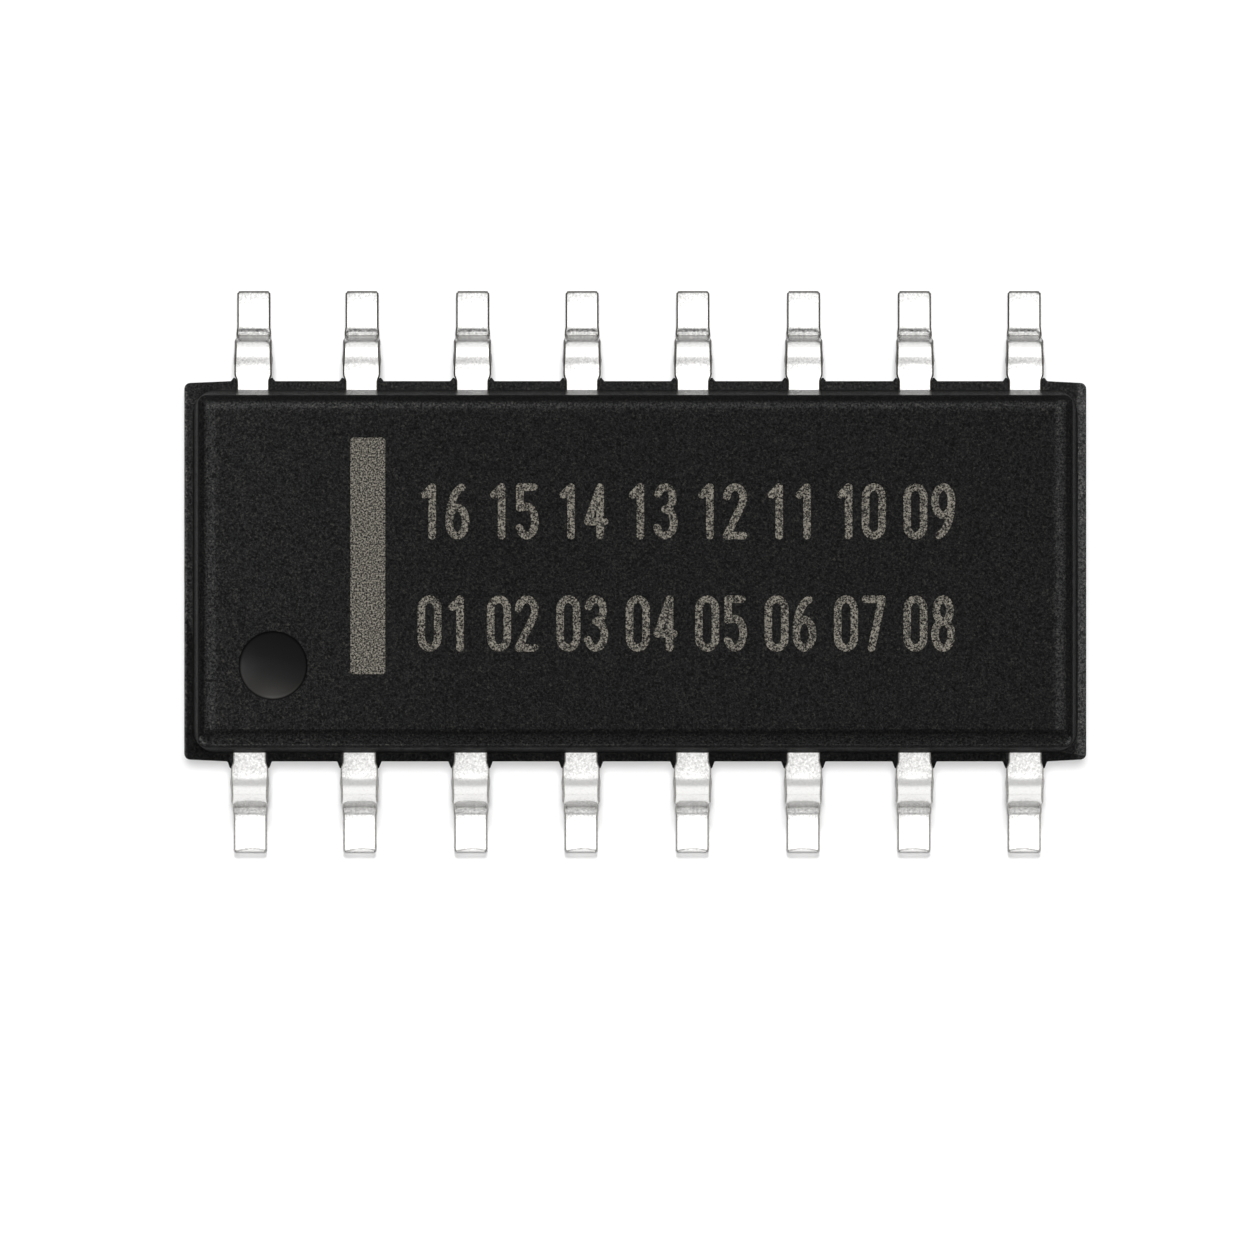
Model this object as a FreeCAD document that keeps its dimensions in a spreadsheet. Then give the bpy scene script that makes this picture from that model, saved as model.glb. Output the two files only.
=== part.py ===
"""A sixteen-lead small-outline integrated circuit, resting on its feet.

Millimetres and degrees. X runs along the row of leads, Y across the rows, Z up from the board.
The origin is on the board, under the middle of the package. Pin 1 is at -X, -Y, beside the dimple
and under the bevelled long edge. Pins 1 to 8 run along -Y towards +X, pins 9 to 16 return along +Y.
"""
import FreeCAD, Part
import math
import os
import Sketcher

# Driving dimensions: name, value, meaning

SIZES = (
    ("standoff", 0.12, "gap between the board and the underside of the body"),
    ("lower_depth", 0.65, "height of the mould half under the leads"),
    ("upper_depth", 0.65, "height of the mould half over the leads"),
    ("end_margin", 0.65, "length of a mould half past the middle of the last lead"),
    ("mould_width", 4.18, "width of a mould half where it meets the rim"),
    ("rim_reach", 0.10, "how far the thin rim at the parting line stands out of the mould halves"),
    ("rim_corner", 0.07, "corner radius of the rim"),
    ("mould_corner", 0.28, "corner radius of a mould half where it meets the rim"),
    ("face_corner", 0.12, "corner radius of a mould half at its flat face"),
    ("side_draft", 7.5, "draft of the long walls"),
    ("end_draft", 12.0, "draft of the end walls"),
    ("edge_radius", 0.08, "rounding of the top and bottom edges"),
    ("bevel_width", 0.20, "bevel along the long edge of pin 1, seen from above"),
    ("bevel_angle", 45.0, "slope of the bevel"),
    ("dimple_diameter", 0.787, "round dish that marks pin 1"),
    ("dimple_depth", 0.08, "depth of the dish"),
    ("dimple_from_end", 0.93, "middle of the dish, from the end of the mould half"),
    ("dimple_from_side", 1.005, "middle of the dish, from the side of the mould half"),
    ("bar_width", 0.40, "marked bar beside pin 1, along X"),
    ("bar_length", 2.72, "marked bar beside pin 1, along Y"),
    ("bar_corner", 0.035, "corner radius of the bar"),
    ("bar_depth", 0.02, "depth of the bar"),
    ("bar_from_end", 2.02, "middle of the bar, from the end of the mould half"),
    ("bar_from_side", 1.914, "middle of the bar, from the far side of the mould half"),
    ("ejector_diameter", 0.90, "ejector pin marks on the underside"),
    ("ejector_depth", 0.03, "depth of the ejector pin marks"),
    ("ejector_from_end", 1.80, "middle of an ejector pin mark, from the end of the mould half"),
    ("lead_pitch", 1.27, "spacing of the leads in a row"),
    ("lead_thickness", 0.20, "thickness of the lead frame"),
    ("exit_width", 0.37, "width of a lead where it leaves the body"),
    ("shoulder_width", 0.43, "width of a lead at its shoulder, left by the trimmed dam bar"),
    ("foot_width", 0.38, "width of a lead at its foot"),
    ("flare_length", 0.08, "length over which a lead widens outside the rim"),
    ("flat_length", 0.26, "straight length of a lead, from the mould half to the first bend"),
    ("foot_length", 0.40, "flat length of a foot"),
    ("bend_radius", 0.12, "inside radius of both bends"),
    ("leg_angle", 83.0, "slope of the leg between the bends"),
    ("anchor_width", 0.52, "width of the ears that lock a lead in the moulding"),
    ("anchor_length", 0.12, "length of the locking ears"),
    ("anchor_setback", 0.13, "distance of the locking ears from the side of the mould half"),
    ("finger_width", 0.22, "width of a lead's run to the paddle"),
    ("finger_gap", 0.18, "gap between neighbouring runs of the lead frame"),
    ("paddle_gap", 0.20, "gap between the paddle and the ends of the leads"),
    ("paddle_end_margin", 0.60, "length of the paddle past each end of the die"),
    ("paddle_side_margin", 0.35, "width of the paddle past each side of the die"),
    ("tie_width", 0.25, "width of the bars that hold the paddle at both ends"),
    ("tie_coining", 0.04, "how much thinner the bars are than the lead frame, so that resin covers them"),
    ("attach_thickness", 0.03, "thickness of the die attach"),
    ("attach_margin", 0.05, "die attach that shows round the die"),
    ("die_length", 1.90, "length of the die"),
    ("die_width", 1.30, "width of the die"),
    ("die_thickness", 0.28, "thickness of the die"),
    ("wire_diameter", 0.03, "thickness of a bond wire"),
    ("loop_height", 0.14, "rise of a bond wire over the die"),
    ("stitch_length", 0.10, "length of a bond wire that lies on its lead"),
    ("stitch_reach", 0.15, "end of a bond wire, from the end of its lead"),
    ("bond_inset", 0.12, "distance of the bonds from the edge of the die"),
    ("bond_pitch", 0.30, "spacing of the bonds along the die"),
    ("cut_overrun", 0.10, "distance by which a cut runs past what it trims"),
)

LEADS_PER_ROW = 8

# Heights and places that follow from the sizes, as expressions

LEAD_BOTTOM = "(Dim.standoff + Dim.lower_depth)"
LEAD_TOP = "(Dim.standoff + Dim.lower_depth + Dim.lead_thickness)"
BODY_TOP = "(Dim.standoff + Dim.lower_depth + Dim.lead_thickness + Dim.upper_depth)"
DIE_BOTTOM = f"({LEAD_TOP} + Dim.attach_thickness)"
DIE_TOP = f"({LEAD_TOP} + Dim.attach_thickness + Dim.die_thickness)"
OVERRUN = "Dim.cut_overrun"

MOULD_LENGTH = f"({LEADS_PER_ROW - 1} * Dim.lead_pitch + 2 * Dim.end_margin)"
RIM_LENGTH = f"({MOULD_LENGTH} + 2 * Dim.rim_reach)"
RIM_WIDTH = "(Dim.mould_width + 2 * Dim.rim_reach)"
PADDLE_LENGTH = "(Dim.die_length + 2 * Dim.paddle_end_margin)"
PADDLE_WIDTH = "(Dim.die_width + 2 * Dim.paddle_side_margin)"

# Stations of the bent lead, as distances from the middle of the package

INNER_BEND = "Dim.bend_radius"
OUTER_BEND = "(Dim.bend_radius + Dim.lead_thickness)"
MIDDLE_BEND = "(Dim.bend_radius + Dim.lead_thickness / 2)"
LEG_SINE = "sin(Dim.leg_angle)"
LEG_COSINE = "cos(Dim.leg_angle)"
LEG_RISE = f"({LEAD_BOTTOM} - 2 * {MIDDLE_BEND} * (1 - {LEG_COSINE}))"
SHOULDER_STATION = "(Dim.mould_width / 2 + Dim.flat_length)"
LEG_START = f"({SHOULDER_STATION} + {MIDDLE_BEND} * {LEG_SINE})"
LEG_END = f"({LEG_START} + {LEG_RISE} / tan(Dim.leg_angle))"
FOOT_STATION = f"({LEG_END} + {MIDDLE_BEND} * {LEG_SINE})"
TIP_STATION = f"({FOOT_STATION} + Dim.foot_length)"

# Runs of the lead frame inside the moulding, as distances from the middle of the package

CORNER_RUN = "(Dim.tie_width / 2 + Dim.finger_gap + Dim.finger_width / 2)"
SECOND_RUN = f"({CORNER_RUN} + Dim.finger_gap + Dim.finger_width)"
THIRD_RUN = f"({PADDLE_WIDTH} / 2 + Dim.paddle_gap + Dim.finger_width / 2)"
RUN_END_BESIDE_PADDLE = f"({PADDLE_LENGTH} / 2 + Dim.paddle_gap)"
RUN_END_BESIDE_LEAD = "(Dim.lead_pitch / 2 + Dim.exit_width / 2 + Dim.finger_gap)"
STRAIGHT_END = f"({PADDLE_WIDTH} / 2 + Dim.paddle_gap)"

# Each column of leads, from the end of the package to its middle:
# distance of its run from the middle line, and distance of the run's end from the centre

RUNS = (
    (CORNER_RUN, RUN_END_BESIDE_PADDLE),
    (SECOND_RUN, RUN_END_BESIDE_PADDLE),
    (THIRD_RUN, RUN_END_BESIDE_LEAD),
)

document = FreeCAD.newDocument("SmallOutlinePackage")
sheet = document.addObject("Spreadsheet::Sheet", "Dim")


def fill_sheet():
    for row, (name, size, meaning) in enumerate(SIZES, start=1):
        sheet.set(f"A{row}", name)
        sheet.set(f"B{row}", str(size))
        sheet.set(f"C{row}", meaning)
        sheet.setAlias(f"B{row}", name)
    document.recompute()


def value(expression):
    """The present value of an expression of the sheet's sizes."""
    return float(sheet.evalExpression(expression))


# Sketches

def new_sketch(body, name, plane_role, height="0"):
    """A sketch on one of the body's own planes, raised by a height."""
    plane = next(feature for feature in body.Origin.OriginFeatures if feature.Role == plane_role)
    sketch = body.newObject("Sketcher::SketchObject", name)
    sketch.AttachmentSupport = [(plane, "")]
    sketch.MapMode = "FlatFace"
    sketch.setExpression("AttachmentOffset.Base.z", height)
    return sketch


def arc_between(start, end, radius, turn):
    """The shorter arc from start to end: turn is 1 for anticlockwise, -1 for clockwise."""
    chord = end - start
    rise = math.sqrt(radius ** 2 - (chord.Length / 2) ** 2)
    left = FreeCAD.Vector(-chord.y, chord.x, 0).normalize()
    centre = (start + end) / 2 + left * rise * turn
    circle = Part.Circle(centre, FreeCAD.Vector(0, 0, 1), radius)
    first, last = (start, end) if turn > 0 else (end, start)
    first_angle = math.atan2(first.y - centre.y, first.x - centre.x)
    last_angle = math.atan2(last.y - centre.y, last.x - centre.x)
    return Part.ArcOfCircle(circle, first_angle, last_angle)


def bind(sketch, constraint, expression):
    index = sketch.addConstraint(constraint)
    sketch.setExpression(f"Constraints[{index}]", expression)


def draw_loop(sketch, corners, arcs=None):
    """A closed outline through the corners, each a pair of expressions.

    The side that starts at a corner is a line, or an arc where arcs holds its radius and turn.
    """
    arcs = arcs or {}
    base = sketch.GeometryCount
    count = len(corners)
    places = [FreeCAD.Vector(value(x), value(y), 0) for x, y in corners]
    start_point = [1] * count
    end_point = [2] * count
    for side in range(count):
        start = places[side]
        end = places[(side + 1) % count]
        if side not in arcs:
            sketch.addGeometry(Part.LineSegment(start, end), False)
            continue
        radius, turn = arcs[side]
        sketch.addGeometry(arc_between(start, end, value(radius), turn), False)
        if turn < 0:
            start_point[side] = 2
            end_point[side] = 1
    for side in range(count):
        following = (side + 1) % count
        ends = (base + side, end_point[side], base + following, start_point[following])
        sketch.addConstraint(Sketcher.Constraint("Coincident", *ends))
    for side, (x, y) in enumerate(corners):
        corner = (base + side, start_point[side])
        bind(sketch, Sketcher.Constraint("DistanceX", *corner, places[side].x), x)
        bind(sketch, Sketcher.Constraint("DistanceY", *corner, places[side].y), y)
    for side, (radius, turn) in arcs.items():
        bind(sketch, Sketcher.Constraint("Radius", base + side, value(radius)), radius)


def draw_rectangle(sketch, length, width, radius=None, middle=("0", "0")):
    """A rectangle about its middle, with rounded corners where a radius is given."""
    x, y = middle
    half_length = f"({length}) / 2"
    half_width = f"({width}) / 2"
    if radius is None:
        corners = [
            (f"{x} - {half_length}", f"{y} - {half_width}"),
            (f"{x} + {half_length}", f"{y} - {half_width}"),
            (f"{x} + {half_length}", f"{y} + {half_width}"),
            (f"{x} - {half_length}", f"{y} + {half_width}"),
        ]
        draw_loop(sketch, corners)
        return
    corners = [
        (f"{x} - {half_length} + {radius}", f"{y} - {half_width}"),
        (f"{x} + {half_length} - {radius}", f"{y} - {half_width}"),
        (f"{x} + {half_length}", f"{y} - {half_width} + {radius}"),
        (f"{x} + {half_length}", f"{y} + {half_width} - {radius}"),
        (f"{x} + {half_length} - {radius}", f"{y} + {half_width}"),
        (f"{x} - {half_length} + {radius}", f"{y} + {half_width}"),
        (f"{x} - {half_length}", f"{y} + {half_width} - {radius}"),
        (f"{x} - {half_length}", f"{y} - {half_width} + {radius}"),
    ]
    draw_loop(sketch, corners, {1: (radius, 1), 3: (radius, 1), 5: (radius, 1), 7: (radius, 1)})


def draw_circle(sketch, x, y, diameter):
    centre = FreeCAD.Vector(value(x), value(y), 0)
    index = sketch.addGeometry(Part.Circle(centre, FreeCAD.Vector(0, 0, 1), value(diameter) / 2), False)
    bind(sketch, Sketcher.Constraint("DistanceX", index, 3, centre.x), x)
    bind(sketch, Sketcher.Constraint("DistanceY", index, 3, centre.y), y)
    bind(sketch, Sketcher.Constraint("Diameter", index, value(diameter)), diameter)


def draw_chain(sketch, places):
    """An open chain of lines through the places, each a pair of expressions."""
    points = [FreeCAD.Vector(value(x), value(y), 0) for x, y in places]
    for start, end in zip(points, points[1:]):
        sketch.addGeometry(Part.LineSegment(start, end), False)
    last = len(points) - 2
    for line in range(last):
        sketch.addConstraint(Sketcher.Constraint("Coincident", line, 2, line + 1, 1))
    for index, (x, y) in enumerate(places):
        corner = (index, 1) if index <= last else (last, 2)
        bind(sketch, Sketcher.Constraint("DistanceX", *corner, points[index].x), x)
        bind(sketch, Sketcher.Constraint("DistanceY", *corner, points[index].y), y)


# Solid features

def new_body(label):
    body = document.addObject("PartDesign::Body", label)
    body.Label = label
    return body


def pad(body, sketch, length):
    feature = body.newObject("PartDesign::Pad", f"{sketch.Name}Pad")
    feature.Profile = sketch
    feature.setExpression("Length", length)
    return feature


def loft(body, start_sketch, end_sketch):
    feature = body.newObject("PartDesign::AdditiveLoft", f"{start_sketch.Name}Loft")
    feature.Profile = start_sketch
    feature.Sections = [(end_sketch, [""])]
    feature.Ruled = True
    return feature


def pocket(body, sketch, depth=None, upward=False):
    """A pocket of a given depth, or through the whole body both ways."""
    feature = body.newObject("PartDesign::Pocket", f"{sketch.Name}Pocket")
    feature.Profile = sketch
    if depth is None:
        feature.Type = "ThroughAll"
        feature.SideType = "Symmetric"
    else:
        feature.setExpression("Length", depth)
        feature.Reversed = upward
    return feature


def fillet_face_edges(body, height, radius, name):
    """Rounds the edges of the flat face at a height."""
    document.recompute()
    base = body.Tip
    level = value(height)
    names = []
    for index, face in enumerate(base.Shape.Faces, start=1):
        box = face.BoundBox
        if max(abs(box.ZMin - level), abs(box.ZMax - level)) < Part.Precision.confusion() * 10:
            names.append(f"Face{index}")
    feature = body.newObject("PartDesign::Fillet", name)
    feature.Base = (base, names)
    feature.setExpression("Radius", radius)
    return feature


# The moulding

def mould_half(body, name, base_height, end_height, depth):
    """One drafted half of the moulding, from the rim to its flat face."""
    base = new_sketch(body, f"{name}Base", "XY_Plane", base_height)
    draw_rectangle(base, MOULD_LENGTH, "Dim.mould_width", "Dim.mould_corner")
    face = new_sketch(body, f"{name}Face", "XY_Plane", end_height)
    length = f"({MOULD_LENGTH} - 2 * {depth} * tan(Dim.end_draft))"
    width = f"(Dim.mould_width - 2 * {depth} * tan(Dim.side_draft))"
    draw_rectangle(face, length, width, "Dim.face_corner")
    return loft(body, base, face)


def cut_bevel(body):
    """The bevel along the long edge of pin 1, drawn from the end of the package."""
    start = "(-Dim.mould_width / 2 + Dim.upper_depth * tan(Dim.side_draft) + Dim.bevel_width)"
    reach = f"(Dim.bevel_width + {OVERRUN})"
    sketch = new_sketch(body, "Bevel", "YZ_Plane")
    corners = [
        (start, BODY_TOP),
        (start, f"{BODY_TOP} + {OVERRUN}"),
        (f"{start} - {reach}", f"{BODY_TOP} + {OVERRUN}"),
        (f"{start} - {reach}", f"{BODY_TOP} - {reach} * tan(Dim.bevel_angle)"),
    ]
    draw_loop(sketch, corners)
    pocket(body, sketch)


def cut_marks(body):
    """The dish and the bar that show pin 1, and the ejector pin marks underneath."""
    dish = body.newObject("PartDesign::SubtractiveSphere", "Dish")
    radius = "((Dim.dimple_diameter ^ 2 / 4 + Dim.dimple_depth ^ 2) / (2 * Dim.dimple_depth))"
    dish.setExpression("Radius", radius)
    dish.setExpression("Placement.Base.x", f"-{MOULD_LENGTH} / 2 + Dim.dimple_from_end")
    dish.setExpression("Placement.Base.y", "-Dim.mould_width / 2 + Dim.dimple_from_side")
    dish.setExpression("Placement.Base.z", f"{BODY_TOP} - Dim.dimple_depth + {radius}")

    bar = new_sketch(body, "Bar", "XY_Plane", BODY_TOP)
    middle = (f"-{MOULD_LENGTH} / 2 + Dim.bar_from_end", "Dim.mould_width / 2 - Dim.bar_from_side")
    draw_rectangle(bar, "Dim.bar_width", "Dim.bar_length", "Dim.bar_corner", middle)
    pocket(body, bar, "Dim.bar_depth")

    ejectors = new_sketch(body, "Ejectors", "XY_Plane", "Dim.standoff")
    draw_circle(ejectors, f"-{MOULD_LENGTH} / 2 + Dim.ejector_from_end", "0", "Dim.ejector_diameter")
    draw_circle(ejectors, f"{MOULD_LENGTH} / 2 - Dim.ejector_from_end", "0", "Dim.ejector_diameter")
    pocket(body, ejectors, "Dim.ejector_depth", upward=True)


def make_moulding():
    """The outer form of the moulding, before it takes the shape of what lies inside it."""
    body = new_body("moulding")
    rim = new_sketch(body, "Rim", "XY_Plane", LEAD_BOTTOM)
    draw_rectangle(rim, RIM_LENGTH, RIM_WIDTH, "Dim.rim_corner")
    pad(body, rim, "Dim.lead_thickness")
    mould_half(body, "Upper", LEAD_TOP, BODY_TOP, "Dim.upper_depth")
    mould_half(body, "Lower", LEAD_BOTTOM, "Dim.standoff", "Dim.lower_depth")
    fillet_face_edges(body, BODY_TOP, "Dim.edge_radius", "TopRounding")
    fillet_face_edges(body, "Dim.standoff", "Dim.edge_radius", "BottomRounding")
    cut_bevel(body)
    cut_marks(body)
    return body


# The lead frame

def lead_outline(column, side):
    """The stamped outline of a lead, from its foot (-Y) to its end inside the package.

    Column 0 is at the end of the row; side is 1 where the lead's run turns towards +X.
    """
    foot = "Dim.foot_width / 2"
    shoulder = "Dim.shoulder_width / 2"
    shank = "Dim.exit_width / 2"
    ears = "Dim.anchor_width / 2"
    ear_start = "(Dim.mould_width / 2 - Dim.anchor_setback)"
    half_outline = [
        (foot, TIP_STATION),
        (foot, LEG_END),
        (shoulder, LEG_START),
        (shoulder, f"{RIM_WIDTH} / 2 + Dim.flare_length"),
        (shank, f"{RIM_WIDTH} / 2"),
        (shank, ear_start),
        (ears, ear_start),
        (ears, f"{ear_start} - Dim.anchor_length"),
        (shank, f"{ear_start} - Dim.anchor_length"),
    ]
    turning_side = [(f"{side} * {x}", f"-({station})") for x, station in half_outline]
    other_side = [(f"-{side} * {x}", f"-({station})") for x, station in half_outline]
    if column == len(RUNS):
        end = [(f"{side} * {shank}", f"-{STRAIGHT_END}"), (f"-{side} * {shank}", f"-{STRAIGHT_END}")]
    else:
        run, run_end = RUNS[column]
        lead_place = f"({(LEADS_PER_ROW - 1) / 2 - column} * Dim.lead_pitch)"
        reach = f"{side} * ({lead_place} - {run_end})"
        outer_edge = f"-({run} + Dim.finger_width / 2)"
        inner_edge = f"-({run} - Dim.finger_width / 2)"
        end = [
            (f"{side} * {shank}", outer_edge),
            (reach, outer_edge),
            (reach, inner_edge),
            (f"-{side} * {shank}", inner_edge),
        ]
    return turning_side + end + other_side[::-1]


def side_cuts():
    """What is cut away above and below the bent strip, seen along the row: corners and arcs."""
    above = [
        (f"-{SHOULDER_STATION}", LEAD_TOP),
        (f"-({SHOULDER_STATION} + {OUTER_BEND} * {LEG_SINE})",
         f"{LEAD_TOP} - {OUTER_BEND} * (1 - {LEG_COSINE})"),
        (f"-({FOOT_STATION} - {INNER_BEND} * {LEG_SINE})",
         f"Dim.lead_thickness + {INNER_BEND} * (1 - {LEG_COSINE})"),
        (f"-{FOOT_STATION}", "Dim.lead_thickness"),
        (f"-({TIP_STATION} + {OVERRUN})", "Dim.lead_thickness"),
        (f"-({TIP_STATION} + {OVERRUN})", f"{LEAD_TOP} + {OVERRUN}"),
        (f"-{SHOULDER_STATION}", f"{LEAD_TOP} + {OVERRUN}"),
    ]
    below = [
        (f"-{SHOULDER_STATION}", LEAD_BOTTOM),
        (f"-({SHOULDER_STATION} + {INNER_BEND} * {LEG_SINE})",
         f"{LEAD_BOTTOM} - {INNER_BEND} * (1 - {LEG_COSINE})"),
        (f"-({FOOT_STATION} - {OUTER_BEND} * {LEG_SINE})", f"{OUTER_BEND} * (1 - {LEG_COSINE})"),
        (f"-{FOOT_STATION}", "0"),
        (f"-{FOOT_STATION}", f"-{OVERRUN}"),
        ("0", f"-{OVERRUN}"),
        ("0", LEAD_BOTTOM),
    ]
    return (
        (above, {0: (OUTER_BEND, 1), 2: (INNER_BEND, -1)}),
        (below, {0: (INNER_BEND, 1), 2: (OUTER_BEND, -1)}),
    )


def make_lead(pin):
    """One lead: the stamped outline stands as high as the shoulder, then the bent strip is left."""
    place = (pin - 1) % LEADS_PER_ROW
    from_left = place < LEADS_PER_ROW // 2
    column = place if from_left else LEADS_PER_ROW - 1 - place
    side = 1 if from_left else -1
    body = new_body(f"lead_{pin}")
    outline = new_sketch(body, f"Outline{pin}", "XY_Plane")
    draw_loop(outline, lead_outline(column, side))
    pad(body, outline, LEAD_TOP)
    cuts = new_sketch(body, f"Bends{pin}", "YZ_Plane")
    for corners, arcs in side_cuts():
        draw_loop(cuts, corners, arcs)
    pocket(body, cuts)
    offset = f"{place - (LEADS_PER_ROW - 1) / 2} * Dim.lead_pitch"
    turn = 0 if pin <= LEADS_PER_ROW else 180
    row = 1 if pin <= LEADS_PER_ROW else -1
    origin = f"vector({row} * {offset}; 0; 0)"
    body.setExpression("Placement", f"placement({origin}; rotation(vector(0; 0; 1); {turn}))")
    return body


def make_paddle():
    """The paddle that carries the die, with the bars that held it in the lead frame."""
    body = new_body("die_paddle")
    paddle = new_sketch(body, "Paddle", "XY_Plane", LEAD_BOTTOM)
    draw_rectangle(paddle, PADDLE_LENGTH, PADDLE_WIDTH)
    pad(body, paddle, "Dim.lead_thickness")
    ties = new_sketch(body, "TieBars", "XY_Plane", LEAD_BOTTOM)
    draw_rectangle(ties, RIM_LENGTH, "Dim.tie_width")
    pad(body, ties, "(Dim.lead_thickness - Dim.tie_coining)")
    return body


# The die and its wires

def make_block(label, length, width, height, base_height):
    body = new_body(label)
    outline = new_sketch(body, f"{label}_outline", "XY_Plane")
    draw_rectangle(outline, length, width)
    pad(body, outline, height)
    body.setExpression("Placement.Base.z", base_height)
    return body


def bond_places(column):
    """Where a column's wire starts on the die and where it ends on the lead, as X and Y."""
    first = "Dim.bond_pitch / 2"
    second = "3 * Dim.bond_pitch / 2"
    end_edge = "(Dim.die_length / 2 - Dim.bond_inset)"
    side_edge = "(Dim.die_width / 2 - Dim.bond_inset)"
    beside_paddle = f"({RUN_END_BESIDE_PADDLE} + Dim.stitch_reach)"
    starts = ((end_edge, first), (end_edge, second), (second, side_edge), (first, side_edge))
    ends = (
        (beside_paddle, CORNER_RUN),
        (beside_paddle, SECOND_RUN),
        (f"({RUN_END_BESIDE_LEAD} + Dim.stitch_reach)", THIRD_RUN),
        ("(Dim.lead_pitch / 2)", f"({STRAIGHT_END} + Dim.stitch_reach)"),
    )
    return starts[column], ends[column]


def make_wire(pin):
    """A bond wire: up from the die, down to the lead and flat along it.

    Its section has six sides, with one of them flat on the lead.
    """
    place = (pin - 1) % LEADS_PER_ROW
    from_left = place < LEADS_PER_ROW // 2
    column = place if from_left else LEADS_PER_ROW - 1 - place
    row = -1 if pin <= LEADS_PER_ROW else 1
    side = row if from_left else -row
    (start_x, start_y), (end_x, end_y) = bond_places(column)
    span_x = f"({end_x} - {start_x})"
    span_y = f"({end_y} - {start_y})"
    span = f"sqrt({span_x} ^ 2 + {span_y} ^ 2)"
    drop = "(Dim.attach_thickness + Dim.die_thickness - Dim.wire_diameter / 2)"

    body = new_body(f"bond_wire_{pin}")
    path = new_sketch(body, f"Path{pin}", "XZ_Plane")
    draw_chain(path, [
        ("0", "0"),
        ("0", "Dim.loop_height"),
        (f"{span} - Dim.stitch_length", f"-{drop}"),
        (span, f"-{drop}"),
    ])
    section = new_sketch(body, f"Section{pin}", "XY_Plane")
    flat = "Dim.wire_diameter / 2"
    half_side = "Dim.wire_diameter / 2 * tan(30)"
    draw_loop(section, [
        (flat, f"-{half_side}"),
        (flat, half_side),
        ("0", f"2 * {half_side}"),
        (f"-{flat}", half_side),
        (f"-{flat}", f"-{half_side}"),
        ("0", f"-2 * {half_side}"),
    ])
    sweep = body.newObject("PartDesign::AdditivePipe", f"Sweep{pin}")
    sweep.Profile = section
    sweep.Spine = (path, ["Edge1", "Edge2", "Edge3"])
    sweep.Transition = "Right corner"
    origin = f"vector({side} * {start_x}; {row} * {start_y}; {DIE_TOP})"
    turn = f"atan2({row} * {span_y}; {side} * {span_x})"
    body.setExpression("Placement", f"placement({origin}; rotation(vector(0; 0; 1); {turn}))")
    return body


# The whole package

def cut_out(label, base, pieces, joined_type):
    """The base without the room that the pieces take up."""
    joined = document.addObject(joined_type, f"{label}_room")
    setattr(joined, "Shapes" if joined_type == "Part::MultiFuse" else "Links", pieces)
    rest = document.addObject("Part::Cut", label)
    rest.Base = base
    rest.Tool = joined
    rest.Label = label
    return rest


def check(pieces):
    for item in document.Objects:
        if "Invalid" in item.State or "Error" in item.State:
            raise RuntimeError(f"{item.Label} failed: {item.State}")
    for piece in pieces:
        if piece.Shape.isNull() or not piece.Shape.isValid() or len(piece.Shape.Solids) != 1:
            raise RuntimeError(f"{piece.Label} is not one valid solid")


def main():
    fill_sheet()
    pins = range(1, 2 * LEADS_PER_ROW + 1)
    leads = [make_lead(pin) for pin in pins]
    paddle = make_paddle()
    attach_length = "(Dim.die_length + 2 * Dim.attach_margin)"
    attach_width = "(Dim.die_width + 2 * Dim.attach_margin)"
    attach = make_block("die_attach", attach_length, attach_width, "Dim.attach_thickness", LEAD_TOP)
    die = make_block("die", "Dim.die_length", "Dim.die_width", "Dim.die_thickness", DIE_BOTTOM)
    wires = [make_wire(pin) for pin in pins]
    frame_and_die = [*leads, paddle, attach, die]
    unwired_body = cut_out("unwired_body", make_moulding(), frame_and_die, "Part::MultiFuse")
    package_body = cut_out("package_body", unwired_body, wires, "Part::Compound")
    document.recompute()

    pieces = [package_body, *frame_and_die, *wires]
    check(pieces)
    os.makedirs("parts", exist_ok=True)
    for piece in pieces:
        piece.Shape.exportStep(f"parts/{piece.Label}.step")
        print(piece.Label, round(piece.Shape.Volume, 5))


main()
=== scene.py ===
"""A small-outline integrated circuit on a white sheet, seen straight from above.

Lengths are in millimetres until a mesh is made, which is in metres. X runs along the rows of leads,
Y across them, Z up from the board. Pin 1 is at -X, -Y.
"""
import bmesh
import bpy
import math
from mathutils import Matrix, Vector


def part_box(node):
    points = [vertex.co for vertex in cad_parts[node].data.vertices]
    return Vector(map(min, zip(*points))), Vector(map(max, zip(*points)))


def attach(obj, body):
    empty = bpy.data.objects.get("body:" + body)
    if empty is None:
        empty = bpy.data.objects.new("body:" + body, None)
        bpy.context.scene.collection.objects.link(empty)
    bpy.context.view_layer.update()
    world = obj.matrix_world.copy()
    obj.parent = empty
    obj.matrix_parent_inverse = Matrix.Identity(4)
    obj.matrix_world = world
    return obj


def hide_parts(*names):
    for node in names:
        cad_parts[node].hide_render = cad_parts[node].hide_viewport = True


MM = 0.001

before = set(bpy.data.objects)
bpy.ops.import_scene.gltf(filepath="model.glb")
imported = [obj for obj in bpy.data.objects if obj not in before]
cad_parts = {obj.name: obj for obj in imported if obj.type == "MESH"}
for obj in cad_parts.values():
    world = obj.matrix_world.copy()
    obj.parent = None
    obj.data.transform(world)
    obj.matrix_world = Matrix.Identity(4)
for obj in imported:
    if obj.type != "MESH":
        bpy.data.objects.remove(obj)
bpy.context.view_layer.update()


def node_box(node):
    """A node's lowest and highest corners, in millimetres."""
    low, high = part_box(node)
    return Vector(low) / MM, Vector(high) / MM


# Sizes that the solids have

body_low, body_high = node_box("package_body")
lead_low, lead_high = node_box("lead_1")

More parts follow.
